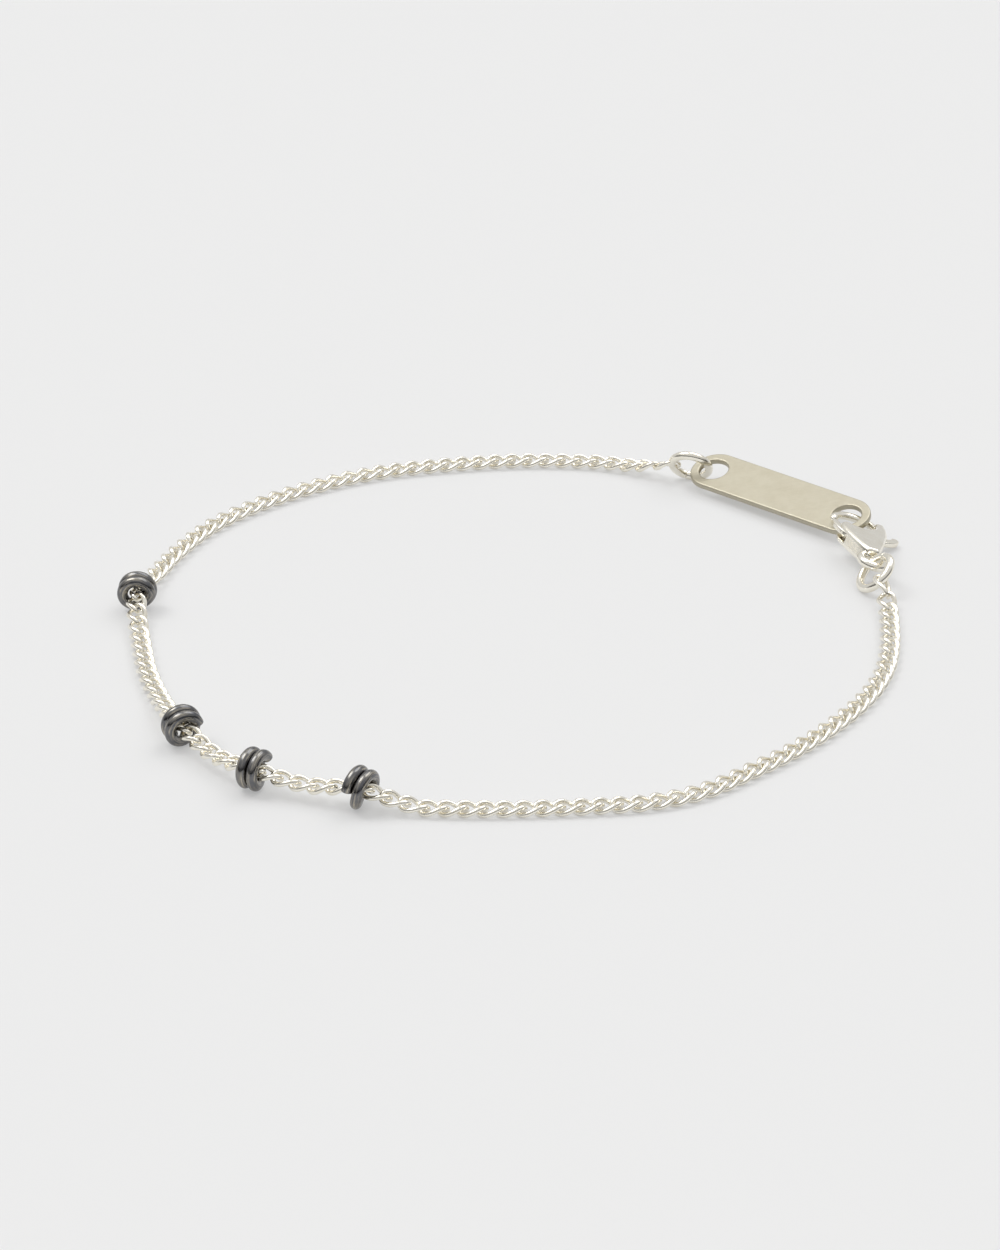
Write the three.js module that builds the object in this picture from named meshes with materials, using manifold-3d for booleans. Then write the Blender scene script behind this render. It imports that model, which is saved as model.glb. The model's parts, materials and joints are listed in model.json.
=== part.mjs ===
// A fine chain bracelet lying closed on a flat surface: a twisted curb chain with four
// wire-coil beads on it, a flat tag and a lobster clasp, joined by two jump rings.
// Millimetres, +Z up, the surface at z = 0, the origin under the middle of the loop.
import * as THREE from 'three';
import { mergeVertices } from 'three/addons/utils/BufferGeometryUtils.js';
import Module from 'manifold-3d';

const wasm = await Module();
wasm.setup();

// ---- driving dimensions -------------------------------------------------------------
const CHAIN = { width: 1.08, height: 0.8, steps: 80 };
const BEAD = { wire: 0.8, pitch: 0.86, crossing: 0.5, sides: 10, stepsPerTurn: 18 };
const RING = { wire: 0.68, mean: 1.5, sides: 10, steps: 28 };
const TAG = { length: 17.0, width: 4.1, thick: 0.5, holeRadius: 1.2, holeInset: 1.9 };
const HOOK = { inner: 1.5, outer: 2.2, thick: 0.62 };
const CLASP = { thick: 1.5, bevel: 0.2 };
const EYE = { mean: 1.0, wire: 0.7, y: -6.4 };
const LEVER = {
  thick: 0.5, bevel: 0.05, slot: 0.78, pivot: [-1.1, -1.8], pinRadius: 0.3, clearance: 0.12,
};

// Route of the chain's middle line, from the tag ring round the back, the left side and
// the front to the clasp ring. It lies flat, and rises in a bead and near a ring.
const FLAT = CHAIN.height / 2 + 0.013;
const LIFTING = FLAT + 0.04;
const IN_BEAD = 1.5;
const ROUTE = [
  [12.33, 25.42, 1.35], [10.11, 26.55, 0.75], [6.86, 27.7, LIFTING], [1.06, 28.1, FLAT],
  [-5.34, 27.3, FLAT], [-11.14, 25.8, FLAT], [-16.34, 23.1, FLAT], [-20.74, 19.7, FLAT],
  [-24.14, 15.9, FLAT], [-26.54, 11.2, LIFTING], [-27.74, 7.8, 0.6], [-28.54, 5.2, 1.1],
  [-28.84, 3.0, IN_BEAD], [-28.74, 0.8, 1.1], [-28.44, -1.4, 0.6], [-28.04, -4.0, LIFTING],
  [-27.34, -8.0, LIFTING], [-26.34, -11.6, 0.6], [-25.24, -15.2, 1.15],
  [-24.04, -18.0, IN_BEAD], [-21.54, -21.6, 1.15], [-18.54, -24.3, IN_BEAD],
  [-14.74, -25.9, 1.15], [-10.94, -27.0, IN_BEAD], [-8.74, -27.6, 1.0], [-6.54, -27.95, 0.5],
  [-3.94, -28.1, LIFTING], [0.36, -28.05, FLAT], [5.26, -27.7, FLAT], [9.66, -27.1, FLAT],
  [13.26, -25.6, FLAT], [16.86, -22.7, FLAT], [20.36, -19.4, FLAT], [23.36, -15.8, FLAT],
  [26.06, -11.5, FLAT], [27.56, -7.6, FLAT], [28.21, -4.0, FLAT], [28.46, -0.7, LIFTING],
  [28.53, 2.1, 0.6], [28.36, 4.3, 1.2],
];

// Beads: their place along the route's points, the height of the middle, the size over
// the wire and how far it is squeezed sideways; where the wire starts and how far it winds,
// from the side that faces into the loop, over the top; and the turn and lean on the chain.
const BEADS = [
  { name: 'bead_1', at: 12, height: 1.49, outer: 2.98, squeeze: 1, start: 0, sweep: 540,
    turn: 0, lean: 0 },
  { name: 'bead_2', at: 19, height: 1.54, outer: 3.06, squeeze: 0.97, start: 15, sweep: 590,
    turn: -9, lean: -4 },
  { name: 'bead_3', at: 21, height: 1.55, outer: 3.1, squeeze: 1, start: 30, sweep: 585,
    turn: 3, lean: 0 },
  { name: 'bead_4', at: 23, height: 1.56, outer: 3.12, squeeze: 1, start: -10, sweep: 545,
    turn: -14, lean: -9 },
];

// Poses of the tag and the clasp, in degrees: heading about +Z, then pitch and roll.
const TAG_POSE = { centre: [21.26, 19.95, 1.43], heading: -40, pitch: -0.5, roll: 16 };
const CLASP_POSE = { heading: 8, pitch: -1.5, roll: 20 };
// Where the tag's hole and its end bar sit in the clasp's own plane.
const TAG_HOLE_IN_CLASP = new THREE.Vector3(-0.4, 1.6, 0);
const TAG_RING_POSE = { heading: -14, tilt: 58, turn: -11, outwards: 0.54 };
const CLASP_RING_POSE = { lean: 44, towards: 190, turn: 10 };

const SILVER = { color: 0xe6e2da, metalness: 1, roughness: 0.22 };
const SATIN_SILVER = { color: 0xd8d2c2, metalness: 1, roughness: 0.45 };
const OXIDISED = { color: 0x55565a, metalness: 1, roughness: 0.38 };

// ---- helpers ------------------------------------------------------------------------
const rad = THREE.MathUtils.degToRad;
const vec = (p) => new THREE.Vector3(...p);

function toSolid(geometry) {
  const bare = geometry.clone();
  bare.deleteAttribute('normal');
  bare.deleteAttribute('uv');
  const merged = mergeVertices(bare, 1e-4);
  return new wasm.Manifold(new wasm.Mesh({
    numProp: 3,
    vertProperties: new Float32Array(merged.attributes.position.array),
    triVerts: new Uint32Array(merged.index.array),
  }));
}

function toGeometry(solid) {
  const mesh = solid.getMesh();
  const geometry = new THREE.BufferGeometry();
  geometry.setAttribute('position', new THREE.BufferAttribute(mesh.vertProperties, 3));
  geometry.setIndex(new THREE.BufferAttribute(mesh.triVerts, 1));
  return geometry;
}

function piece(name, geometry, finish) {
  const mesh = new THREE.Mesh(geometry, new THREE.MeshStandardMaterial(finish));
  mesh.name = name;
  return mesh;
}

// A flat shape given a thickness, centred on its own plane, with bevelled edges.
function slab(shape, thick, bevel) {
  const geometry = new THREE.ExtrudeGeometry(shape, {
    depth: thick - 2 * bevel,
    bevelEnabled: bevel > 0,
    bevelThickness: bevel,
    bevelSize: bevel,
    bevelOffset: -bevel,
    bevelSegments: 2,
    curveSegments: 10,
  });
  return geometry.translate(0, 0, bevel - thick / 2);
}

function torus(mean, wire, sides, steps) {
  const profile = [];
  for (let i = 0; i <= sides; i++) {
    const angle = 2 * Math.PI * (i % sides) / sides;
    profile.push(new THREE.Vector2(
      mean + wire / 2 * Math.cos(angle), wire / 2 * Math.sin(angle)));
  }
  return new THREE.LatheGeometry(profile, steps).rotateX(Math.PI / 2);
}

// ---- chain --------------------------------------------------------------------------
const route = new THREE.CatmullRomCurve3(ROUTE.map(vec), false, 'centripetal');

function chain() {
  const flat = Math.PI / 8;
  const section = new THREE.Shape();
  for (let i = 0; i < 8; i++) {
    const angle = flat + i * Math.PI / 4;
    const x = CHAIN.height / 2 * Math.cos(angle) / Math.cos(flat);
    const y = CHAIN.width / 2 * Math.sin(angle) / Math.cos(flat);
    if (i === 0) section.moveTo(x, y);
    else section.lineTo(x, y);
  }
  const geometry = new THREE.ExtrudeGeometry(section, {
    extrudePath: route, steps: CHAIN.steps, bevelEnabled: false,
  });
  return piece('chain', geometry, SILVER);
}

// ---- beads --------------------------------------------------------------------------
// The wire winds about local x; it starts at -y (into the loop) and rises over the top. Each
// turn lies flat at first, and crosses over to the next one in its last part.
class Coil extends THREE.Curve {
  constructor({ outer, squeeze, start, sweep }) {
    super();
    this.mean = (outer - BEAD.wire) / 2;
    this.squeeze = squeeze;
    this.start = start;
    this.sweep = sweep;
  }

  getPoint(t, target = new THREE.Vector3()) {
    const angle = rad(this.start + this.sweep * t);
    const along = BEAD.pitch * (this.turnsAt(t) - this.turnsAt(1) / 2);
    const side = -this.mean * this.squeeze * Math.cos(angle);
    return target.set(along, side, this.mean * Math.sin(angle));
  }

  turnsAt(t) {
    const turns = this.sweep * t / 360;
    const whole = Math.floor(turns);
    const crossed = Math.max(0, 1 - (whole + 1 - turns) / BEAD.crossing);
    return whole + crossed * crossed * (3 - 2 * crossed);
  }
}

function bead(size) {
  const section = new THREE.Shape().absarc(0, 0, BEAD.wire / 2, 0, 2 * Math.PI);
  const geometry = new THREE.ExtrudeGeometry(section, {
    extrudePath: new Coil(size),
    steps: Math.round(BEAD.stepsPerTurn * size.sweep / 360),
    curveSegments: BEAD.sides,
    bevelEnabled: false,
  });
  const mesh = piece(size.name, geometry, OXIDISED);
  const [x, y] = ROUTE[size.at];
  const along = vec(ROUTE[size.at - 1]).sub(vec(ROUTE[size.at + 1]));
  mesh.position.set(x, y, size.height);
  mesh.rotation.order = 'ZYX';
  mesh.rotation.set(0, rad(size.lean), Math.atan2(along.y, along.x) + rad(size.turn));
  return mesh;
}

// ---- tag ----------------------------------------------------------------------------
function tag() {
  const reach = TAG.length / 2 - TAG.width / 2;
  const outline = new THREE.Shape();
  outline.absarc(reach, 0, TAG.width / 2, -Math.PI / 2, Math.PI / 2);
  outline.absarc(-reach, 0, TAG.width / 2, Math.PI / 2, 3 * Math.PI / 2);
  for (const side of [-1, 1]) {
    const hole = new THREE.Path();
    hole.absarc(side * (TAG.length / 2 - TAG.holeInset), 0, TAG.holeRadius, 0, 2 * Math.PI);
    outline.holes.push(hole);
  }
  const mesh = piece('tag', slab(outline, TAG.thick, 0.1), SATIN_SILVER);
  mesh.position.set(...TAG_POSE.centre);
  mesh.rotation.order = 'ZYX';
  mesh.rotation.set(rad(TAG_POSE.roll), rad(TAG_POSE.pitch), rad(TAG_POSE.heading));
  mesh.updateMatrixWorld();
  return mesh;
}

const tagMesh = tag();
const tagHole = (side, outwards = 0) => tagMesh.localToWorld(
  new THREE.Vector3(side * (TAG.length / 2 - TAG.holeInset + outwards), 0, 0));

// ---- clasp, in its own plane: hook towards +y, tail eye towards -y, tab towards +x -----
function hookShape() {
  const shape = new THREE.Shape();
  const tip = rad(170);
  const root = rad(-25);
  shape.absarc(0, 0, HOOK.outer, root, tip);
  shape.absarc(0, 0, HOOK.inner, tip, root, true);
  return shape;
}

function cheekShape() {
  const shape = new THREE.Shape();
  shape.moveTo(-0.5, -5.7);
  shape.quadraticCurveTo(-1.1, -4.8, -1.75, -2.8);
  shape.quadraticCurveTo(-2.1, -1.8, -1.6, -1.25);
  shape.quadraticCurveTo(-1.2, -0.95, -0.9, -1.3);
  shape.quadraticCurveTo(0.0, -1.85, 0.95, -1.2);
  shape.quadraticCurveTo(1.45, -0.8, 1.5, 0.2);
  shape.lineTo(2.2, 0.2);
  shape.quadraticCurveTo(2.35, -1.4, 1.75, -2.8);
  shape.quadraticCurveTo(1.1, -4.8, 0.5, -5.7);
  return shape;
}

// The slot between the cheeks, open to both sides, that the lever turns in.
function slotShape() {
  const shape = new THREE.Shape();
  shape.moveTo(-3, -2.9);
  shape.lineTo(-0.6, -3.3);
  shape.lineTo(0.7, -3.95);
  shape.lineTo(3, -5.0);
  shape.lineTo(3, -1.05);
  shape.lineTo(1.2, -1.05);
  shape.lineTo(0.2, 0);
  shape.lineTo(-3, 0);
  return shape;
}

function disc(radius, thick, x, y) {
  const round = new THREE.CylinderGeometry(radius, radius, thick, 16).rotateX(Math.PI / 2);
  return toSolid(round.translate(x, y, 0));
}

function claspBody() {
  const eye = torus(EYE.mean, EYE.wire, 10, 20).translate(0, EYE.y, 0);
  const slot = slab(slotShape(), LEVER.slot, 0);
  const solid = toSolid(slab(cheekShape(), CLASP.thick, CLASP.bevel))
    .subtract(toSolid(slot))
    .add(toSolid(slab(hookShape(), HOOK.thick, 0.12)))
    .add(toSolid(eye))
    .add(disc(LEVER.pinRadius, CLASP.thick, ...LEVER.pivot));
  return piece('clasp_body', toGeometry(solid), SILVER);
}

// The lever: a gate up to the hook's tip, a hub on the pin, and a thumb tab to the right.
function leverShape() {
  const shape = new THREE.Shape();
  shape.moveTo(-1.6, -0.05);
  shape.quadraticCurveTo(-1.75, 0.05, -2.05, -0.08);
  shape.quadraticCurveTo(-2.15, -1.0, -1.65, -1.9);
  shape.quadraticCurveTo(-1.5, -2.35, -1.0, -2.4);
  shape.lineTo(2.1, -2.15);
  shape.quadraticCurveTo(3.15, -1.9, 3.4, -1.25);
  shape.quadraticCurveTo(3.4, -0.7, 2.85, -0.85);
  shape.quadraticCurveTo(2.6, -1.4, 1.8, -1.45);
  shape.lineTo(-0.2, -1.5);
  shape.quadraticCurveTo(-1.2, -1.4, -1.58, -0.3);
  return shape;
}

function claspLever() {
  const bore = disc(LEVER.pinRadius + LEVER.clearance, CLASP.thick, ...LEVER.pivot);
  const solid = toSolid(slab(leverShape(), LEVER.thick, LEVER.bevel)).subtract(bore);
  return piece('clasp_lever', toGeometry(solid), SILVER);
}

function clasp() {
  const group = new THREE.Group();
  group.rotation.order = 'ZXY';
  group.rotation.set(
    rad(CLASP_POSE.pitch), rad(CLASP_POSE.roll), rad(CLASP_POSE.heading));
  const hole = TAG_HOLE_IN_CLASP.clone().applyEuler(group.rotation);
  group.position.copy(tagHole(1)).sub(hole);
  group.add(claspBody(), claspLever());
  group.updateMatrixWorld();
  return group;
}

const claspGroup = clasp();

// ---- jump rings ---------------------------------------------------------------------
// A ring in the plane of two directions, with its wire through the given point.
function ring(name, through, across, up, turn) {
  const mesh = piece(name, torus(RING.mean, RING.wire, RING.sides, RING.steps), SILVER);
  const normal = across.clone().cross(up);
  mesh.quaternion.setFromRotationMatrix(new THREE.Matrix4().makeBasis(across, up, normal));
  const reach = across.clone().multiplyScalar(Math.cos(rad(turn)))
    .addScaledVector(up, Math.sin(rad(turn))).multiplyScalar(RING.mean);
  mesh.position.copy(through).sub(reach);
  return mesh;
}

// The tag's ring leans back from the tag's own direction.
function tagRing() {
  const heading = rad(TAG_RING_POSE.heading);
  const tilt = rad(TAG_RING_POSE.tilt);
  const across = new THREE.Vector3(Math.cos(heading), Math.sin(heading), 0);
  const up = new THREE.Vector3(
    Math.sin(heading) * Math.cos(tilt), -Math.cos(heading) * Math.cos(tilt), Math.sin(tilt));
  const through = tagHole(-1, TAG_RING_POSE.outwards);
  return ring('tag_ring', through, across, up, TAG_RING_POSE.turn);
}

// The clasp's ring rests on its low side and rises towards the clasp's tail eye.
function claspRing() {
  const low = rad(CLASP_RING_POSE.towards);
  const lean = rad(CLASP_RING_POSE.lean);
  const across = new THREE.Vector3(Math.sin(low), -Math.cos(low), 0);
  const up = new THREE.Vector3(
    -Math.cos(low) * Math.cos(lean), -Math.sin(low) * Math.cos(lean), Math.sin(lean));
  const eye = claspGroup.localToWorld(new THREE.Vector3(0, EYE.y, 0));
  return ring('clasp_ring', eye, across, up, CLASP_RING_POSE.turn);
}

const bracelet = new THREE.Group();
bracelet.add(chain(), ...BEADS.map(bead), tagMesh, claspGroup, tagRing(), claspRing());
export default bracelet;
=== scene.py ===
import json
import math

import bpy
from mathutils import Matrix, Vector, geometry


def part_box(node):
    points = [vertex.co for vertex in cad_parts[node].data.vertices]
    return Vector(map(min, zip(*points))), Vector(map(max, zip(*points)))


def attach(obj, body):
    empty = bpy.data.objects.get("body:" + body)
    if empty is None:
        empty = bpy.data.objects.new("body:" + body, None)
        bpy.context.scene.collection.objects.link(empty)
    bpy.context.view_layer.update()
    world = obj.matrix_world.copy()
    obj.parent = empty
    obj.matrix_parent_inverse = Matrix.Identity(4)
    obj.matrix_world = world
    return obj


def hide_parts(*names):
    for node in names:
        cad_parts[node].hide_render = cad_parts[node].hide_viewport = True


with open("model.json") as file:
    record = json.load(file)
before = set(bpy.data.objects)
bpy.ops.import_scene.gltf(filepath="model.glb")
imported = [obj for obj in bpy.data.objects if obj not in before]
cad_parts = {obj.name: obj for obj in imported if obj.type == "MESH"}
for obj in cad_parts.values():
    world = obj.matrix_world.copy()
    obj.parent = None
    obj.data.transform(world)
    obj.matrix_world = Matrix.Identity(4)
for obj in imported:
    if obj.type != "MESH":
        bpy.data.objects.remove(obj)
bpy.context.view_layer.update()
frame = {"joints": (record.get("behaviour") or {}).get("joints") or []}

MM = 0.001

# ---- driving sizes, in metres ---------------------------------------------------------
FLAT = 0.465 * MM
LIFTING = FLAT + 0.04 * MM
IN_BEAD = 1.48 * MM
LINK = {"wire": 0.37 * MM, "width": 1.62 * MM, "in_bead": 1.2 * MM, "pitch": 1.36 * MM,
        "half_length": 1.03 * MM, "twist": -52, "steps": 40, "sides": 12}
END_LINK = {"half_length": 1.1 * MM, "half_width": 0.64 * MM, "twist": -30, "sides": 10,
            "play": 0.02 * MM}
# Links within this distance of a bead's middle are narrow enough to pass through it.
BESIDE_BEAD = 1.0 * MM
# Where the chain's ends lift off the table to meet their rings, the last few links roll:
# by these degrees at the first and the last link, in full once lifted by this much.
END_ROLL = {"first": 20, "last": 40, "links": 4, "lift": 0.6 * MM}
BEAD = {"wire": 0.84 * MM, "pitch": 0.86 * MM, "crossing": 0.5, "step": 5, "sides": 20}
RING = {"wire": 0.68 * MM, "mean": 1.5 * MM, "cut": 0.05 * MM, "steps": 96, "sides": 24}
SAWN_EDGE = 0.05 * MM
TAG = {"length": 17.0 * MM, "width": 4.1 * MM, "thick": 0.5 * MM,
       "hole": 1.2 * MM, "inset": 1.9 * MM, "edge": 0.13 * MM}
CLASP = {"thick": 1.5 * MM, "slot": 0.78 * MM, "edge": 0.3 * MM}
HOOK = {"mean": 1.85 * MM, "radial": 0.7 * MM, "thick": 0.62 * MM, "from": -25, "to": 170}
EYE = {"mean": 1.0 * MM, "wire": 0.7 * MM, "y": -6.4 * MM}
LEVER = {"thick": 0.47 * MM, "edge": 0.12 * MM, "pin": 0.3 * MM, "bore": 0.42 * MM}
# Castings: the grain of their melted surface in millimetres, and how often it is smoothed.
CASTING = {"clasp_cheeks": (0.04, 3), "clasp_casting": (0.035, 4), "clasp_gate": (0.025, 2)}
PIVOT = Vector((-1.1 * MM, -1.8 * MM, 0))

# Poses in degrees, as in the solids: heading about +Z, then pitch and roll.
TAG_POSE = {"heading": -40, "pitch": -0.5, "roll": 16}
CLASP_POSE = {"heading": 8, "pitch": -1.5, "roll": 20}
TAG_RING_POSE = {"heading": -14, "tilt": 58}
CLASP_RING_POSE = {"lean": 44, "towards": 190}

# The chain's middle line, placed as the solid's is but at the links' own height, from the
# tag ring round the back, the left side and the front to the clasp ring.
ROUTE_STEPS = 24
ROUTE = [Vector(p) for p in (
    (0.01233, 0.02542, 0.00135), (0.01011, 0.02655, 0.00075), (0.00686, 0.0277, LIFTING),
    (0.00106, 0.0281, FLAT), (-0.00534, 0.0273, FLAT), (-0.01114, 0.0258, FLAT),
    (-0.01634, 0.0231, FLAT), (-0.02074, 0.0197, FLAT), (-0.02414, 0.0159, FLAT),
    (-0.02654, 0.0112, LIFTING), (-0.02774, 0.0078, 0.0006), (-0.02854, 0.0052, 0.0011),
    (-0.02884, 0.003, IN_BEAD), (-0.02874, 0.0008, 0.0011), (-0.02844, -0.0014, 0.0006),
    (-0.02804, -0.004, LIFTING), (-0.02734, -0.008, LIFTING), (-0.02634, -0.0116, 0.0006),
    (-0.02524, -0.0152, 0.00115), (-0.02404, -0.018, IN_BEAD), (-0.02154, -0.0216, 0.00115),
    (-0.01854, -0.0243, IN_BEAD), (-0.01474, -0.0259, 0.00115), (-0.01094, -0.027, IN_BEAD),
    (-0.00874, -0.0276, 0.001), (-0.00654, -0.02795, 0.00052), (-0.00394, -0.0281, LIFTING),
    (0.00036, -0.02805, FLAT), (0.00526, -0.0277, FLAT), (0.00966, -0.0271, FLAT),
    (0.01326, -0.0256, FLAT), (0.01686, -0.0227, FLAT), (0.02036, -0.0194, FLAT),
    (0.02336, -0.0158, FLAT), (0.02606, -0.0115, FLAT), (0.02756, -0.0076, FLAT),
    (0.02821, -0.004, FLAT), (0.02846, -0.0007, LIFTING), (0.02853, 0.0021, 0.0006),
    (0.02836, 0.0043, 0.0012),
)]
# Beads: place along the route's points, height of the middle, size over the wire and how
# far it is squeezed sideways; the wire's start and sweep in degrees from the side that
# faces into the loop, over the top; and the turn on the chain and lean along it.
BEADS = {
    "bead_1": {"at": 12, "height": 0.00149, "outer": 0.00298, "squeeze": 1, "start": 0,
               "sweep": 540, "turn": 0, "lean": 0},
    "bead_2": {"at": 19, "height": 0.00154, "outer": 0.00306, "squeeze": 0.97, "start": 15,
               "sweep": 590, "turn": -9, "lean": -4},
    "bead_3": {"at": 21, "height": 0.00155, "outer": 0.0031, "squeeze": 1, "start": 30,
               "sweep": 585, "turn": 3, "lean": 0},
    "bead_4": {"at": 23, "height": 0.00156, "outer": 0.00312, "squeeze": 1, "start": -10,
               "sweep": 545, "turn": -14, "lean": -9},
}


# ---- small helpers ----------------------------------------------------------------------
def turn(degrees, axis):
    return Matrix.Rotation(math.radians(degrees), 4, axis)


def unit(x, y, z):
    return Vector((x, y, z)).normalized()


def middle(node):
    low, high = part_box(node)
    return (Vector(low) + Vector(high)) / 2


def catmull_rom(points, per_span):
    """Centripetal Catmull-Rom through the points, as a list of finely spaced points."""
    padded = [2 * points[0] - points[1], *points, 2 * points[-1] - points[-2]]
    out = []
    for p0, p1, p2, p3 in zip(padded, padded[1:], padded[2:], padded[3:]):
        d0, d1, d2 = (math.sqrt((b - a).length) for a, b in ((p0, p1), (p1, p2), (p2, p3)))
        m1 = ((p1 - p0) / d0 - (p2 - p0) / (d0 + d1) + (p2 - p1) / d1) * d1
        m2 = ((p2 - p1) / d1 - (p3 - p1) / (d1 + d2) + (p3 - p2) / d2) * d1
        for step in range(per_span):
            t = step / per_span
            out.append(p1 * (2 * t**3 - 3 * t**2 + 1) + m1 * (t**3 - 2 * t**2 + t)
                       + p2 * (3 * t**2 - 2 * t**3) + m2 * (t**3 - t**2))
    return out + [points[-1]]


class Track:
    """A finely spaced line that gives the point at any distance along it."""

    def __init__(self, points):
        self.points = points
        self.reach = [0.0]
        for a, b in zip(points, points[1:]):
            self.reach.append(self.reach[-1] + (b - a).length)
        self.length = self.reach[-1]

    def at(self, distance):
        distance = min(max(distance, 0.0), self.length)
        low, high = 0, len(self.reach) - 1
        while high - low > 1:
            mid = (low + high) // 2
            if self.reach[mid] <= distance:
                low = mid
            else:
                high = mid
        span = self.reach[high] - self.reach[low]
        return self.points[low].lerp(self.points[high], (distance - self.reach[low]) / span)


class Shape:
    """Vertices, faces and their UVs, gathered before they become one mesh."""

    def __init__(self):
        self.verts, self.faces, self.uvs, self.flat = [], [], [], set()

    def add(self, other, matrix):
        base = len(self.verts)
        self.verts += [matrix @ v for v in other.verts]
        self.faces += [[base + i for i in face] for face in other.faces]
        self.uvs += other.uvs

    def to_mesh(self, name, scale=1.0):
        mesh = bpy.data.meshes.new(name)
        mesh.from_pydata([v * scale for v in self.verts], [], self.faces)
        layer = mesh.uv_layers.new(name="along_wire")
        flat = [value for face in self.uvs for uv in face for value in uv]
        layer.data.foreach_set("uv", flat)
        smooth = [i not in self.flat for i in range(len(self.faces))]
        mesh.polygons.foreach_set("use_smooth", smooth)
        mesh.validate()
        return mesh


def sweep(points, section, sides, closed, frames=None):
    """A wire along the points. section(i) gives its half sizes (across, over) at point i.
    The UVs run along the wire in millimetres, and once round it."""
    shape = Shape()
    count = len(points)
    if frames is None:
        frames = carried_frames(points, closed)
    reach = [0.0]
    for i in range(1, count + 1):
        reach.append(reach[-1] + (points[i % count] - points[i - 1]).length / MM)
    for i, (point, (across, over)) in enumerate(zip(points, frames)):
        half_across, half_over = section(i)
        for side in range(sides):
            angle = 2 * math.pi * side / sides
            shape.verts.append(point + across * (half_across * math.cos(angle))
                               + over * (half_over * math.sin(angle)))
    for i in range(count if closed else count - 1):
        after = (i + 1) % count
        for side in range(sides):
            beside = (side + 1) % sides
            shape.faces.append([i * sides + side, i * sides + beside,
                                after * sides + beside, after * sides + side])
            low, high = side / sides, (side + 1) / sides
            shape.uvs.append([(reach[i], low), (reach[i], high),
                              (reach[i + 1], high), (reach[i + 1], low)])
    if not closed:
        for start, order in ((0, -1), ((count - 1) * sides, 1)):
            ring = list(range(start, start + sides))[::order]
            shape.faces.append(ring)
            shape.uvs.append([(0.5, 0.5)] * sides)
    return shape


def carried_frames(points, closed):
    """Two directions square to the line at each point, carried along with little twist."""
    count = len(points)
    tangents = []
    for i in range(count):
        before = points[i - 1] if closed or i else points[0]
        after = points[(i + 1) % count] if closed or i < count - 1 else points[-1]
        tangents.append((after - before).normalized())
    over = Vector((0, 0, 1))
    if abs(tangents[0].z) > 0.9:
        over = Vector((1, 0, 0))
    frames = []
    for tangent in tangents:
        across = over.cross(tangent).normalized()
        over = tangent.cross(across).normalized()
        frames.append((across, over))
    if closed:
        frames = close_twist(tangents, frames)
    return frames


def close_twist(tangents, frames):
    """Spreads the angle that is left over at the end of a closed line along all of it."""
    across = frames[-1][1].cross(tangents[0]).normalized()
    first = frames[0]
    left = math.atan2(across.dot(first[1]), across.dot(first[0]))
    out = []
    for i, (tangent, (a, b)) in enumerate(zip(tangents, frames)):
        back = Matrix.Rotation(-left * i / len(frames), 3, tangent)
        out.append((back @ a, back @ b))
    return out


def piece(name, mesh, body, slot, *nodes):
    """A finished object that rides on a body and stands for CAD nodes. The slot is not used."""
    obj = bpy.data.objects.new(name, mesh)
    bpy.context.scene.collection.objects.link(obj)
    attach(obj, body)
    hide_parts(*nodes)
    return obj


# ---- materials ----------------------------------------------------------------------------
# Linear colours: each metal's two mottled tones; what is painted into its crevices, which on the
# polished and satin silver is painted shade and on the oxidised wire is its oxide in the hollows
# together with painted shade; and on the oxidised wire where the dark layer is rubbed.
SILVER = {"light": (0.95, 0.92, 0.835), "dull": (0.90, 0.86, 0.755),
          "crevice_shade_and_oxide": (0.66, 0.57, 0.40), "reach": 0.35 * MM, "roughness": 0.15}
SATIN = {"light": (0.515, 0.483, 0.388), "dull": (0.475, 0.438, 0.342),
         "crevice_shade_and_oxide": (0.34, 0.28, 0.18), "reach": 0.5 * MM}
OXIDISED = {"light": (0.20, 0.197, 0.195), "dull": (0.115, 0.12, 0.135),
            "rubbed": (0.47, 0.43, 0.355), "crevice_shade_and_oxide": (0.03, 0.03, 0.035), "reach": 0.5 * MM}


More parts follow.
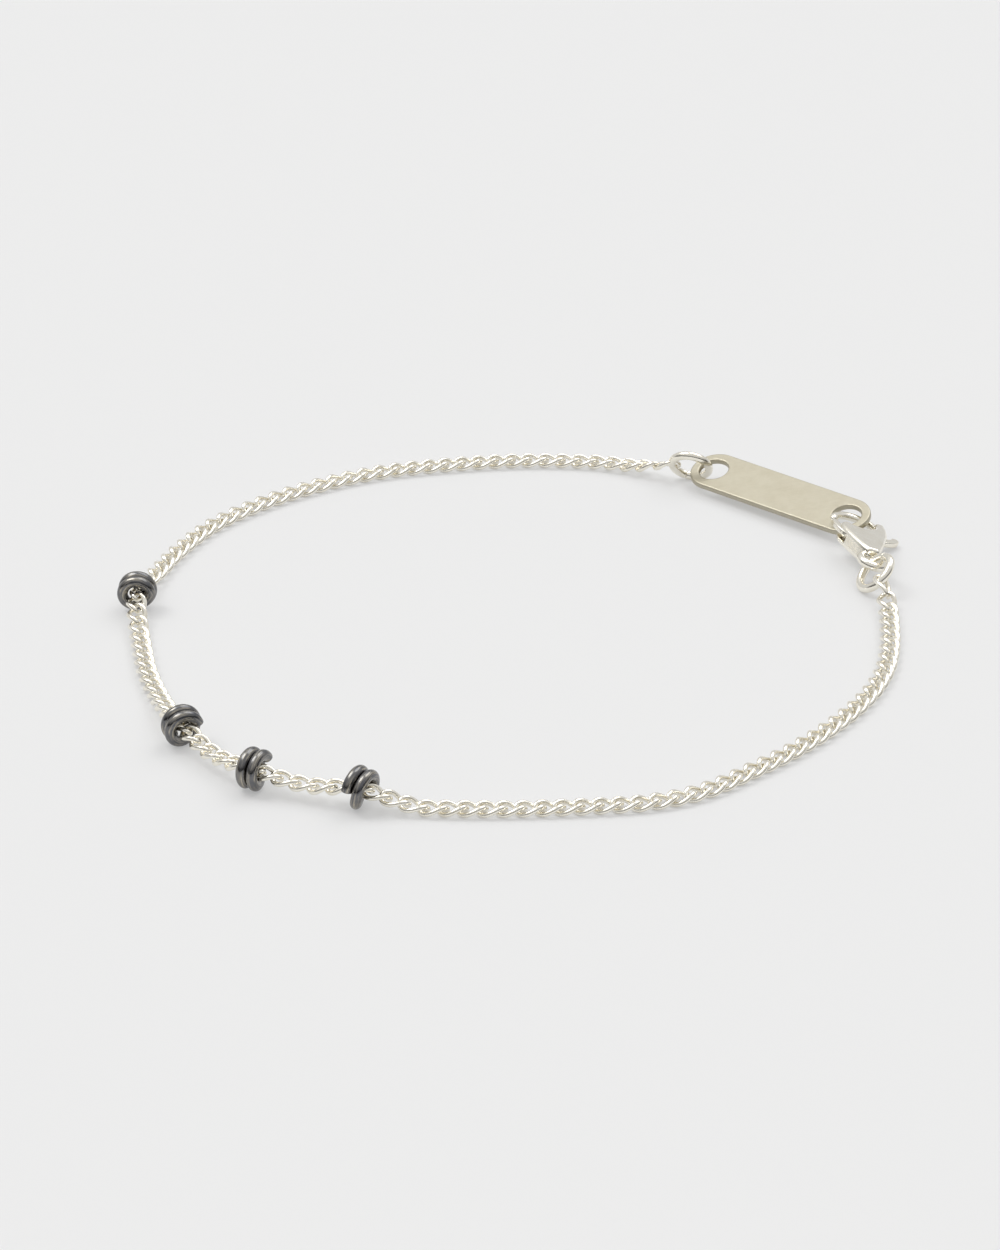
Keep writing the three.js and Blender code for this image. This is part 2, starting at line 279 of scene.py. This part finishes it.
class Nodes:
    """Short calls for building one material's node tree."""

    def __init__(self, name):
        self.material = bpy.data.materials.new(name)
        self.material.use_nodes = True
        self.tree = self.material.node_tree
        self.shader = self.tree.nodes["Principled BSDF"]
        self.coords = self.new("ShaderNodeTexCoord").outputs["Object"]

    def new(self, kind, **settings):
        node = self.tree.nodes.new(kind)
        for key, value in settings.items():
            setattr(node, key, value)
        return node

    def link(self, source, target):
        self.tree.links.new(source, target)

    def stretched(self, vector, scale):
        node = self.new("ShaderNodeMapping")
        node.inputs["Scale"].default_value = scale
        self.link(vector, node.inputs["Vector"])
        return node.outputs["Vector"]

    def noise(self, vector, scale, detail=3.0, roughness=0.5):
        node = self.new("ShaderNodeTexNoise")
        node.inputs["Scale"].default_value = scale
        node.inputs["Detail"].default_value = detail
        node.inputs["Roughness"].default_value = roughness
        self.link(vector, node.inputs["Vector"])
        return node.outputs["Fac"]

    def ramp(self, value, low, high, to_low, to_high):
        node = self.new("ShaderNodeMapRange")
        for key, number in (("From Min", low), ("From Max", high),
                            ("To Min", to_low), ("To Max", to_high)):
            node.inputs[key].default_value = number
        self.link(value, node.inputs["Value"])
        return node.outputs["Result"]

    def mix(self, factor, low, high):
        node = self.new("ShaderNodeMix", data_type="RGBA")
        self.link(factor, node.inputs["Factor"])
        for key, value in (("A", low), ("B", high)):
            socket = [s for s in node.inputs if s.name == key and s.type == "RGBA"][0]
            if isinstance(value, tuple):
                socket.default_value = (*value, 1)
            else:
                self.link(value, socket)
        return [s for s in node.outputs if s.type == "RGBA"][0]

    def bump(self, height, distance, strength=1.0, under=None):
        node = self.new("ShaderNodeBump")
        node.inputs["Distance"].default_value = distance
        node.inputs["Strength"].default_value = strength
        self.link(height, node.inputs["Height"])
        if under is not None:
            self.link(under, node.inputs["Normal"])
        return node.outputs["Normal"]

    # Ambient occlusion: used to paint shade into crevices, and on the oxidised wire also to mark
    # its oxide in the hollows.
    def crevice_occlusion(self, reach):
        node = self.new("ShaderNodeAmbientOcclusion", samples=8)
        node.inputs["Distance"].default_value = reach
        return node.outputs["AO"]


def polished_silver(name):
    """Bright silver, with faint wear, and painted shade in a brownish cream where wires meet."""
    n = Nodes(name)
    n.shader.inputs["Metallic"].default_value = 1.0
    cloudy = n.noise(n.coords, 900, 4)
    bright = n.mix(n.ramp(cloudy, 0.35, 0.65, 0, 1), SILVER["light"], SILVER["dull"])
    # Painted shade: where the wires come close to each other or to the floor, the colour turns a
    # darker warm cream.
    shade_and_oxide_mask = n.ramp(n.crevice_occlusion(SILVER["reach"]), 0.05, 0.45, 1, 0)
    n.link(n.mix(shade_and_oxide_mask, bright, SILVER["crevice_shade_and_oxide"]), n.shader.inputs["Base Color"])
    roughness = SILVER["roughness"]
    fine = n.noise(n.coords, 5200, 3, 0.6)
    n.link(n.ramp(fine, 0.3, 0.7, roughness - 0.05, roughness + 0.07),
           n.shader.inputs["Roughness"])
    n.link(n.bump(n.noise(n.coords, 3000, 2), 0.004 * MM, 0.5), n.shader.inputs["Normal"])
    return n.material


def satin_silver(name):
    """A warm satin face, softly mottled, with fine brushed lines."""
    n = Nodes(name)
    n.shader.inputs["Metallic"].default_value = 1.0
    cloudy = n.noise(n.coords, 900, 5, 0.65)
    face = n.mix(n.ramp(cloudy, 0.35, 0.68, 0, 1), SATIN["light"], SATIN["dull"])
    # Painted shade: the face darkens to a dull brown where other surfaces come close to it.
    shade_and_oxide_mask = n.ramp(n.crevice_occlusion(SATIN["reach"]), 0.1, 0.7, 1, 0)
    n.link(n.mix(shade_and_oxide_mask, face, SATIN["crevice_shade_and_oxide"]), n.shader.inputs["Base Color"])
    lines = n.noise(n.stretched(n.coords, (700, 14000, 700)), 1, 2)
    n.link(n.ramp(lines, 0.3, 0.7, 0.36, 0.5), n.shader.inputs["Roughness"])
    pits = n.bump(n.noise(n.coords, 2600, 4, 0.65), 0.012 * MM, 0.6)
    n.link(n.bump(lines, 0.003 * MM, 0.5, pits), n.shader.inputs["Normal"])
    return n.material


def oxidised_silver(name):
    """Dark drawn wire: blue-grey, lighter where it is rubbed, with lines along the wire."""
    n = Nodes(name)
    n.shader.inputs["Metallic"].default_value = 1.0
    wire = n.new("ShaderNodeUVMap", uv_map="along_wire").outputs["UV"]
    drawn = n.noise(n.stretched(wire, (0.8, 20, 1)), 1, 4, 0.65)
    cloudy = n.noise(n.coords, 700, 4, 0.6)
    dark = n.mix(n.ramp(cloudy, 0.35, 0.65, 0, 1), OXIDISED["dull"], OXIDISED["light"])
    rubbed = n.mix(n.ramp(drawn, 0.48, 0.66, 0, 1), dark, OXIDISED["rubbed"])
    # Near black where other surfaces come close: the oxide kept in the hollows between the
    # turns, and painted shade where the coil meets the chain and the floor.
    shade_and_oxide_mask = n.ramp(n.crevice_occlusion(OXIDISED["reach"]), 0.1, 0.6, 1, 0)
    n.link(n.mix(shade_and_oxide_mask, rubbed, OXIDISED["crevice_shade_and_oxide"]), n.shader.inputs["Base Color"])
    n.link(n.ramp(drawn, 0.3, 0.7, 0.14, 0.28), n.shader.inputs["Roughness"])
    n.link(n.bump(drawn, 0.02 * MM, 1.0), n.shader.inputs["Normal"])
    return n.material


def plain_floor(name):
    """A matt pale floor. Its own glow keeps the shadows on it faint."""
    n = Nodes(name)
    n.shader.inputs["Base Color"].default_value = (*[FLOOR["albedo"]] * 3, 1)
    n.shader.inputs["Emission Color"].default_value = (1, 1, 1, 1)
    n.shader.inputs["Emission Strength"].default_value = FLOOR["glow"]
    n.shader.inputs["Roughness"].default_value = 0.9
    n.shader.inputs["Specular IOR Level"].default_value = 0.0
    return n.material


# ---- chain ----------------------------------------------------------------------------------
def link_shape(half_length, half_width, twist, sides):
    """One oval link, twisted about its long axis so that its neighbours lie flat in it."""
    radius, steps = LINK["wire"] / 2, LINK["steps"]
    points = []
    for i in range(steps):
        angle = 2 * math.pi * i / steps
        along = half_length * math.cos(angle)
        side = half_width * math.sin(angle)
        lean = math.radians(twist) * math.cos(angle)
        points.append(Vector((along, side * math.cos(lean), side * math.sin(lean))))
    return sweep(points, lambda i: (radius, radius), sides, True)


def standing(point, ahead, roll=0.0):
    """A place on the chain: x along it, z up, rolled about x."""
    x = ahead.normalized()
    y = Vector((0, 0, 1)).cross(x).normalized()
    z = x.cross(y)
    frame_here = Matrix((x, y, z)).transposed().to_4x4()
    return Matrix.Translation(point) @ frame_here @ turn(roll, "X")


def ring_axes(name):
    """The two directions that a jump ring's wire goes round in, as in the solids."""
    if name == "tag_ring":
        heading, tilt = (math.radians(TAG_RING_POSE[key]) for key in ("heading", "tilt"))
        across = Vector((math.cos(heading), math.sin(heading), 0))
        up = Vector((math.sin(heading) * math.cos(tilt),
                     -math.cos(heading) * math.cos(tilt), math.sin(tilt)))
        return across, up
    low, lean = (math.radians(CLASP_RING_POSE[key]) for key in ("towards", "lean"))
    across = Vector((math.sin(low), -math.cos(low), 0))
    up = Vector((-math.cos(low) * math.cos(lean), -math.sin(low) * math.cos(lean),
                 math.sin(lean)))
    return across, up


def make_chain(material):
    wire, twist = LINK["wire"], LINK["twist"]
    half_length = LINK["half_length"]
    half_width = (LINK["width"] - wire) / 2
    common = link_shape(half_length, half_width, twist, LINK["sides"])
    narrow = link_shape(half_length, (LINK["in_bead"] - wire) / 2, twist, LINK["sides"])
    end = link_shape(END_LINK["half_length"], END_LINK["half_width"], END_LINK["twist"],
                     END_LINK["sides"])
    starts = middle("tag_ring") - ring_axes("tag_ring")[0] * RING["mean"]
    stops = middle("clasp_ring") - ring_axes("clasp_ring")[0] * RING["mean"]
    track = Track(catmull_rom([starts, *ROUTE, stops], ROUTE_STEPS))

    # The end links hold the rings' wire, and the rest share the way between them.
    hold = END_LINK["half_length"] - wire / 2 - RING["wire"] / 2 - END_LINK["play"]
    first, last = hold, track.length - hold
    step_out = END_LINK["half_length"] + half_length - wire
    links = round((last - first - 2 * step_out) / LINK["pitch"]) + 1
    pitch = (last - first - 2 * step_out) / (links - 1)
    places = [first] + [first + step_out + i * pitch for i in range(links)] + [last]
    chain = Shape()
    for i, place in enumerate(places):
        ahead = track.at(place + pitch / 2) - track.at(place - pitch / 2)
        here = track.at(place)
        from_start, from_end = i, len(places) - 1 - i
        raised = min(1, max(0, (here.z - LIFTING) / END_ROLL["lift"]))
        roll = raised * (END_ROLL["first"] * max(0, 1 - from_start / END_ROLL["links"])
                         + END_ROLL["last"] * max(0, 1 - from_end / END_ROLL["links"]))
        to_beads = [(here - ROUTE[bead["at"]]).length for bead in BEADS.values()]
        link = narrow if min(to_beads) < BESIDE_BEAD else common
        if from_start == 0 or from_end == 0:
            link = end
        chain.add(link, standing(here, ahead, roll))
    mesh = chain.to_mesh("chain_links")
    mesh.materials.append(material)
    piece("chain_links", mesh, "bracelet", "chain", "chain")


# ---- beads ----------------------------------------------------------------------------------
def turns_at(turns):
    """Turns passed along the coil: each lies flat, then crosses over in its last part."""
    whole = math.floor(turns)
    crossed = max(0, 1 - (whole + 1 - turns) / BEAD["crossing"])
    return whole + crossed * crossed * (3 - 2 * crossed)


def make_bead(name, bead, material):
    """A coil of drawn wire with sawn ends, wound about the chain."""
    at, start, swept = bead["at"], bead["start"], bead["sweep"]
    steps = round(swept / BEAD["step"])
    mean = (bead["outer"] - BEAD["wire"]) / 2
    points = []
    for i in range(steps + 1):
        t = i / steps
        angle = math.radians(start + swept * t)
        along = BEAD["pitch"] * (turns_at(swept * t / 360) - turns_at(swept / 360) / 2)
        side = -mean * bead["squeeze"] * math.cos(angle)
        points.append(Vector((along, side, mean * math.sin(angle))))
    frames = []
    for point, after in zip(points, points[1:] + [2 * points[-1] - points[-2]]):
        tangent = (after - point).normalized()
        out = Vector((0, point.y, point.z)).normalized()
        across = out.cross(tangent).normalized()
        frames.append((across, tangent.cross(across).normalized()))
    points, frames, sizes = with_sawn_ends(points, frames, BEAD["wire"] / 2)
    shape = sweep(points, lambda i: (sizes[i], sizes[i]), BEAD["sides"], False, frames)
    along = ROUTE[at - 1] - ROUTE[at + 1]
    heading = math.degrees(math.atan2(along.y, along.x)) + bead["turn"]
    place = Vector((ROUTE[at].x, ROUTE[at].y, bead["height"]))
    mesh = shape.to_mesh(name + "_coil")
    mesh.transform(Matrix.Translation(place) @ turn(heading, "Z") @ turn(bead["lean"], "Y"))
    mesh.materials.append(material)
    piece(name + "_coil", mesh, "bracelet", name, name)


def with_sawn_ends(points, frames, radius):
    """Repeats the end points at smaller sizes, for the worn edge of a cut wire."""
    edge = SAWN_EDGE
    start = (points[0] - points[1]).normalized()
    stop = (points[-1] - points[-2]).normalized()
    shrink = [0.0, 0.3, 0.7, 1.0]
    lead, tail = [], []
    for s in shrink[:-1]:
        size = radius - edge * (1 - math.sqrt(1 - (1 - s) ** 2))
        lead.append((points[0] + start * edge * (1 - s) - start * edge, frames[0], size))
        tail.append((points[-1] + stop * edge * (1 - s) - stop * edge, frames[-1], size))
    body = [(p, f, radius) for p, f in zip(points[1:-1], frames[1:-1])]
    whole = lead + body + tail[::-1]
    return [w[0] for w in whole], [w[1] for w in whole], [w[2] for w in whole]


# ---- jump rings -----------------------------------------------------------------------------
def make_ring(name, cut_at, material):
    """A round wire ring with the fine cut where it was closed."""
    across, up = ring_axes(name)
    centre = middle(name)
    gap = RING["cut"] / RING["mean"]
    steps = RING["steps"]
    points = []
    for i in range(steps + 1):
        angle = math.radians(cut_at) + gap / 2 + (2 * math.pi - gap) * i / steps
        points.append(centre + (across * math.cos(angle) + up * math.sin(angle)) * RING["mean"])
    normal = across.cross(up)
    frames = [(normal, (point - centre).normalized()) for point in points]
    points, frames, sizes = with_sawn_ends(points, frames, RING["wire"] / 2)
    shape = sweep(points, lambda i: (sizes[i], sizes[i]), RING["sides"], False, frames)
    mesh = shape.to_mesh(name + "_wire")
    mesh.materials.append(material)
    piece(name + "_wire", mesh, "bracelet", name, name)


# ---- flat shapes ------------------------------------------------------------------------------
def arc(x, y, radius, start, stop, steps):
    out = []
    for i in range(steps + 1):
        angle = math.radians(start + (stop - start) * i / steps)
        out.append(Vector((x + radius * math.cos(angle), y + radius * math.sin(angle))))
    return out


def outline(start, *curves, steps=10):
    """A closed outline in millimetres from lines (x, y) and curves (cx, cy, x, y)."""
    points = [Vector(start)]
    for curve in curves:
        here = points[-1]
        if len(curve) == 2:
            points.append(Vector(curve))
            continue
        control, end = Vector(curve[:2]), Vector(curve[2:])
        for i in range(1, steps + 1):
            t = i / steps
            points.append(here * (1 - t)**2 + control * (2 * t * (1 - t)) + end * t**2)
    if (points[-1] - points[0]).length < 1e-6:
        points.pop()
    return [p * MM for p in points]


def inset(points, distance):
    """The outline moved inwards; points run anticlockwise round the shape."""
    out = []
    for i, point in enumerate(points):
        before = (point - points[i - 1]).normalized()
        after = (points[(i + 1) % len(points)] - point).normalized()
        side = Vector((-(before.y + after.y), before.x + after.x)).normalized()
        lean = max(0.5, side.dot(Vector((-before.y, before.x))))
        out.append(point + side * (distance / lean))
    return out


def slab(rings, thick, edge, segments=5):
    """A flat piece from closed outlines: the outer one anticlockwise, holes clockwise."""
    shape = Shape()
    levels = []
    for i in range(segments + 1):
        angle = math.pi / 2 * i / segments
        levels.append((edge * (1 - math.cos(angle)), thick / 2 - edge * (1 - math.sin(angle))))
    profile = [(d, -z) for d, z in levels[::-1]] + levels
    caps = {-1: [], 1: []}
    for ring in rings:
        base = len(shape.verts)
        count = len(ring)
        for distance, height in profile:
            shape.verts += [Vector((p.x, p.y, height)) for p in inset(ring, distance)]
        for level in range(len(profile) - 1):
            for i in range(count):
                after = (i + 1) % count
                low, high = base + level * count, base + (level + 1) * count
                shape.faces.append([low + i, low + after, high + after, high + i])
        caps[-1].append(list(range(base, base + count)))
        top = base + (len(profile) - 1) * count
        caps[1].append(list(range(top, top + count)))
    for side, loops in caps.items():
        flat = [i for loop in loops for i in loop]
        contours = [[shape.verts[i] for i in loop] for loop in loops]
        for triangle in geometry.tessellate_polygon(contours):
            face = [flat[i] for i in triangle]
            a, b, c = (shape.verts[i] for i in face)
            if (b - a).cross(c - a).z * side < 0:
                face.reverse()
            shape.flat.add(len(shape.faces))
            shape.faces.append(face)
    shape.uvs = [[(shape.verts[i].x / MM, shape.verts[i].y / MM) for i in face]
                 for face in shape.faces]
    return shape


def object_of(shape, name, scale=1.0):
    obj = bpy.data.objects.new(name, shape.to_mesh(name, scale))
    bpy.context.scene.collection.objects.link(obj)
    return obj


def apply_modifiers(obj):
    """The object's finished mesh; the object itself is taken away."""
    graph = bpy.context.evaluated_depsgraph_get()
    mesh = bpy.data.meshes.new_from_object(obj.evaluated_get(graph))
    bpy.data.objects.remove(obj)
    return mesh


def cast_together(name, shapes, cutters):
    """Several closed shapes, less the cutters, melted into one smooth casting. The work is
    done in millimetres, and the mesh comes back in metres, in the shapes' own frame."""
    grain, smoothing = CASTING[name]
    scale = 1 / MM
    joined = Shape()
    for shape in shapes:
        joined.add(shape, Matrix.Identity(4))
    obj = object_of(joined, name, scale)
    tools = []
    for cutter in cutters:
        tool = object_of(cutter, name + "_cutter", scale)
        tools.append(tool)
        cut = obj.modifiers.new("cut", "BOOLEAN")
        cut.object, cut.operation, cut.solver = tool, "DIFFERENCE", "EXACT"
        cut.use_self = True
    melt = obj.modifiers.new("melt", "REMESH")
    melt.mode, melt.voxel_size, melt.use_smooth_shade = "VOXEL", grain, True
    smooth = obj.modifiers.new("smooth", "SMOOTH")
    smooth.factor, smooth.iterations = 0.5, smoothing
    mesh = apply_modifiers(obj)
    for tool in tools:
        bpy.data.objects.remove(tool)
    mesh.transform(Matrix.Scale(MM, 4))
    mesh.polygons.foreach_set("use_smooth", [True] * len(mesh.polygons))
    return mesh


# ---- tag ------------------------------------------------------------------------------------
def make_tag(material):
    reach = (TAG["length"] - TAG["width"]) / 2
    edge = (arc(reach, 0, TAG["width"] / 2, -90, 90, 32)
            + arc(-reach, 0, TAG["width"] / 2, 90, 270, 32))
    rings = [edge]
    for side in (-1, 1):
        centre = side * (TAG["length"] / 2 - TAG["inset"])
        rings.append(arc(centre, 0, TAG["hole"], 360, 0, 40)[:-1])
    shape = slab(rings, TAG["thick"], TAG["edge"])
    place = (Matrix.Translation(middle("tag")) @ turn(TAG_POSE["heading"], "Z")
             @ turn(TAG_POSE["pitch"], "Y") @ turn(TAG_POSE["roll"], "X"))
    mesh = shape.to_mesh("tag_plate")
    mesh.materials.append(material)
    mesh.transform(place)
    piece("tag_plate", mesh, "bracelet", "tag", "tag")


# ---- clasp ----------------------------------------------------------------------------------
CHEEK = outline(
    (-0.5, -5.7), (0.5, -5.7), (1.1, -4.8, 1.75, -2.8), (2.35, -1.4, 2.2, 0.2), (1.5, 0.2),
    (1.45, -0.8, 0.95, -1.2), (0.0, -1.85, -0.9, -1.3), (-1.2, -0.95, -1.6, -1.25),
    (-2.1, -1.8, -1.75, -2.8), (-1.1, -4.8, -0.5, -5.7))
SLOT = outline(
    (-3, -2.9), (-0.6, -3.3), (0.7, -3.95), (3, -5.0), (3, -1.05), (1.2, -1.05), (0.2, 0),
    (-3, 0))
LEVER_EDGE = outline(
    (-1.6, -0.05), (-1.75, 0.05, -2.05, -0.08), (-2.15, -1.0, -1.65, -1.9),
    (-1.5, -2.35, -1.0, -2.4), (2.1, -2.15), (3.15, -1.9, 3.4, -1.25),
    (3.4, -0.7, 2.85, -0.85), (2.6, -1.4, 1.8, -1.45), (-0.2, -1.5),
    (-1.2, -1.4, -1.58, -0.3))


def clasp_place():
    """From the clasp's own plane to its place, by the pivot that the joint states."""
    joint = [j for j in frame["joints"] if j["name"] == "clasp_lever_hinge"][0]
    rotation = (turn(CLASP_POSE["heading"], "Z") @ turn(CLASP_POSE["pitch"], "X")
                @ turn(CLASP_POSE["roll"], "Y"))
    return Matrix.Translation(Vector(joint["pos_m"]) - rotation @ PIVOT) @ rotation


def rounded_wire(points, across, over, sides=20):
    """An open wire of oval section in the clasp's plane, with domed ends."""
    count = len(points)
    dome = 6

    def section(i):
        near = min(i, count - 1 - i)
        size = 1.0 if near >= dome else math.sqrt(1 - (1 - (near + 0.15) / dome) ** 2)
        return across / 2 * size, over / 2 * size

    frames = []
    for i, point in enumerate(points):
        ahead = (points[min(i + 1, count - 1)] - points[max(i - 1, 0)]).normalized()
        over_way = Vector((0, 0, 1))
        frames.append((over_way.cross(ahead).normalized(), over_way))
    return sweep(points, section, sides, False, frames)


def make_clasp(material):
    hook = [p.to_3d() for p in arc(0, 0, HOOK["mean"], HOOK["from"], HOOK["to"], 60)]
    eye = [p.to_3d() for p in arc(0, EYE["y"], EYE["mean"], 0, 360, 60)[:-1]]
    eye_frames = [((p - Vector((0, EYE["y"], 0))).normalized(), Vector((0, 0, 1)))
                  for p in eye]
    half = EYE["wire"] / 2
    cheeks = slab([CHEEK], CLASP["thick"], CLASP["edge"])
    slot = slab([SLOT], CLASP["slot"], 0.02 * MM, 1)
    halves = cast_together("clasp_cheeks", [cheeks], [slot])
    pin = slab([arc(PIVOT.x, PIVOT.y, LEVER["pin"], 0, 360, 24)[:-1]], CLASP["thick"], 0.05 * MM)
    parts = [
        rounded_wire(hook, HOOK["radial"], HOOK["thick"]),
        sweep(eye, lambda i: (half, half), 20, True, eye_frames),
        pin,
    ]
    mesh = melt_with(halves, parts)
    mesh.materials.append(material)
    mesh.transform(clasp_place())
    piece("clasp_casting", mesh, "bracelet", "clasp_body", "clasp_body")


def melt_with(mesh, shapes):
    """One smooth casting out of a finished mesh and some closed shapes."""
    whole = Shape()
    whole.verts = [v.co.copy() for v in mesh.vertices]
    whole.faces = [list(p.vertices) for p in mesh.polygons]
    whole.uvs = [[(0, 0)] * len(face) for face in whole.faces]
    return cast_together("clasp_casting", [whole, *shapes], [])


def make_lever(material):
    plate = slab([LEVER_EDGE], LEVER["thick"], LEVER["edge"], 3)
    bore = slab([arc(PIVOT.x, PIVOT.y, LEVER["bore"], 0, 360, 40)[:-1]], 2 * LEVER["thick"],
                0.02 * MM, 1)
    mesh = cast_together("clasp_gate", [plate], [bore])
    mesh.materials.append(material)
    mesh.transform(clasp_place())
    piece("clasp_gate", mesh, "lever", "clasp_lever", "clasp_lever")


# ---- camera, light and floor --------------------------------------------------------------
CAMERA = {"target": Vector((-0.00109, 0.00035, 0)), "distance": 0.332884, "tilt": 28,
          "lens": 125.97}
FLOOR = {"size": 6.0, "albedo": 0.42, "glow": 0.362}
KEY = {"from": unit(0.35, 0.45, 0.8), "strength": 0.7, "angle": 42}
# The tent's strength at its foot, up its sides and at its back. The spans are of the
# direction's z, where the foot ends and the roof begins, and of its y, where the back begins.
SKY = {"colour": (1.0, 0.998, 0.994), "level": 0.7, "low": 0.06, "sides": 0.68, "back": 0.92,
       "foot_span": (0.14, 0.42), "roof_span": (0.3, 0.8), "back_span": (-0.15, 0.3)}
SOFTBOX = {"towards": unit(-0.45, 0.2, 0.87), "radius": 15, "feather": 6, "strength": 6}


def make_camera():
    data = bpy.data.cameras.new("camera")
    data.lens = CAMERA["lens"]
    data.sensor_width = 36
    data.clip_start = 0.01
    obj = bpy.data.objects.new("camera", data)
    bpy.context.scene.collection.objects.link(obj)
    tilt = math.radians(CAMERA["tilt"])
    away = Vector((0, -math.cos(tilt), math.sin(tilt)))
    obj.location = CAMERA["target"] + away * CAMERA["distance"]
    obj.rotation_euler = (math.pi / 2 - tilt, 0, 0)
    bpy.context.scene.camera = obj


def make_light():
    data = bpy.data.lights.new("key", "SUN")
    data.energy = KEY["strength"]
    data.angle = math.radians(KEY["angle"])
    obj = bpy.data.objects.new("key", data)
    obj.rotation_euler = KEY["from"].to_track_quat("Z", "Y").to_euler()
    bpy.context.scene.collection.objects.link(obj)
    bpy.context.scene.world = make_tent()
    bpy.context.scene.view_settings.view_transform = "Standard"


def make_tent():
    """A pale tent: dim round its foot and to the front, with one bright panel overhead."""
    world = bpy.data.worlds.new("tent")
    world.use_nodes = True
    tree = world.node_tree
    sky = tree.nodes["Background"]
    way = tree.nodes.new("ShaderNodeTexCoord").outputs["Generated"]
    apart = tree.nodes.new("ShaderNodeSeparateXYZ")
    tree.links.new(way, apart.inputs["Vector"])

    def ramp(value, low, high, to_low, to_high):
        node = tree.nodes.new("ShaderNodeMapRange")
        node.interpolation_type = "SMOOTHSTEP"
        for key, number in (("From Min", low), ("From Max", high),
                            ("To Min", to_low), ("To Max", to_high)):
            node.inputs[key].default_value = number
        tree.links.new(value, node.inputs["Value"])
        return node.outputs["Result"]

    def maths(kind, *values):
        node = tree.nodes.new("ShaderNodeMath")
        node.operation = kind
        for i, value in enumerate(values):
            tree.links.new(value, node.inputs[i])
        return node.outputs["Value"]

    foot = ramp(apart.outputs["Z"], *SKY["foot_span"], SKY["low"], SKY["sides"])
    over = ramp(apart.outputs["Z"], *SKY["roof_span"], 0, 1 - SKY["sides"])
    ahead = ramp(apart.outputs["Y"], *SKY["back_span"], 1, 0)
    back = ramp(apart.outputs["Y"], *SKY["back_span"], 0, SKY["back"])
    facing = tree.nodes.new("ShaderNodeVectorMath")
    facing.operation = "DOT_PRODUCT"
    facing.inputs[1].default_value = SOFTBOX["towards"]
    tree.links.new(way, facing.inputs[0])
    rim, core = (math.cos(math.radians(SOFTBOX["radius"] + side * SOFTBOX["feather"]))
                 for side in (1, -1))
    panel = ramp(facing.outputs["Value"], rim, core, 0, SOFTBOX["strength"])
    tent = maths("ADD", maths("ADD", maths("MULTIPLY", foot, ahead), back), over)
    tree.links.new(maths("ADD", tent, panel), sky.inputs["Strength"])
    level = SKY["level"]
    sky.inputs["Color"].default_value = (*[level * c for c in SKY["colour"]], 1)
    return world


def make_floor():
    half = FLOOR["size"] / 2
    mesh = bpy.data.meshes.new("floor")
    corners = [(-half, -half, 0), (half, -half, 0), (half, half, 0), (-half, half, 0)]
    mesh.from_pydata(corners, [], [(0, 1, 2, 3)])
    mesh.materials.append(plain_floor("floor"))
    floor = bpy.data.objects.new("floor", mesh)
    bpy.context.scene.collection.objects.link(floor)


make_camera()
make_light()
make_floor()
silver = polished_silver("polished_silver")
oxidised = oxidised_silver("oxidised_silver")
make_chain(silver)
for bead_name, bead in BEADS.items():
    make_bead(bead_name, bead, oxidised)
make_ring("tag_ring", 250, silver)
make_ring("clasp_ring", 60, silver)
make_tag(satin_silver("satin_silver"))
make_clasp(silver)
make_lever(silver)
